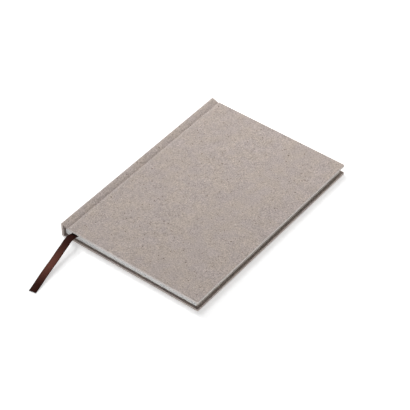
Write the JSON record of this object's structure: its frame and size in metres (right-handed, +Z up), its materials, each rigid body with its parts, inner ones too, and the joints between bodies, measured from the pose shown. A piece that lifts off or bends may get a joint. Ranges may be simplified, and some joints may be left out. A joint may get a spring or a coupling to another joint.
{
  "type": "notebook",
  "caption": "Casebound notebook with a square spine, paper-covered boards, a sewn block of grid pages and a ribbon marker.",
  "frame": {"origin": "middle of the closed notebook's footprint, on the table under the back cover", "axes": "+X from the spine to the fore edge, +Y from the tail to the head, +Z up through the front cover"},
  "size_m": [0.148, 0.2761, 0.0136],
  "materials": {
    "cover_paper": "matte",
    "grey_board": "matte",
    "endpaper": "matte",
    "page_paper": "matte",
    "mull_gauze": "matte",
    "kraft_paper": "matte",
    "thread": "matte",
    "ribbon": "satin"
  },
  "bodies": {
    "back_cover": {"back_board": "grey_board", "back_cover_paper": "cover_paper", "back_pastedown": "endpaper", "back_flyleaf": "endpaper", "ribbon_inner": "ribbon", "ribbon_tail": "ribbon", "signature_3": "page_paper", "signature_4": "page_paper", "signature_5": "page_paper", "signature_6": "page_paper", "signature_7": "page_paper", "signature_8": "page_paper"},
    "spine": {"spine_board": "grey_board", "spine_paper": "cover_paper", "spine_lining": "kraft_paper", "mull": "mull_gauze", "sewing_thread": "thread", "ribbon_anchor": "ribbon"},
    "front_leaves": {"signature_1": "page_paper", "signature_2": "page_paper"},
    "flyleaf": {"front_flyleaf": "endpaper"},
    "front_cover": {"front_board": "grey_board", "front_cover_paper": "cover_paper", "front_pastedown": "endpaper"}
  },
  "joints": [
    {"name": "marker_opening", "type": "hinge", "parent": "back_cover", "child": "spine", "pos_m": [-0.0741, 0, -0.0001], "axis": [0, -1, 0], "range_deg": [0, 90]},
    {"name": "front_leaves_fold", "type": "hinge", "parent": "spine", "child": "front_leaves", "pos_m": [-0.0741, 0, 0.01374], "axis": [0, -1, 0], "range_deg": [0, 91.2]},
    {"name": "front_cover_hinge", "type": "hinge", "parent": "front_leaves", "child": "front_cover", "pos_m": [-0.0741, 0, 0.01374], "axis": [0, -1, 0], "range_deg": [0, 178]},
    {"name": "flyleaf_turn", "type": "hinge", "parent": "front_leaves", "child": "flyleaf", "pos_m": [-0.0741, 0, 0.01374], "axis": [0, -1, 0], "range_deg": [0, 175]}
  ],
  "couplings": [
    {"joint": "front_leaves_fold", "follows": "marker_opening", "ratio": 1.0111},
    {"joint": "flyleaf_turn", "follows": "front_cover_hinge", "ratio": 0.965}
  ]
}
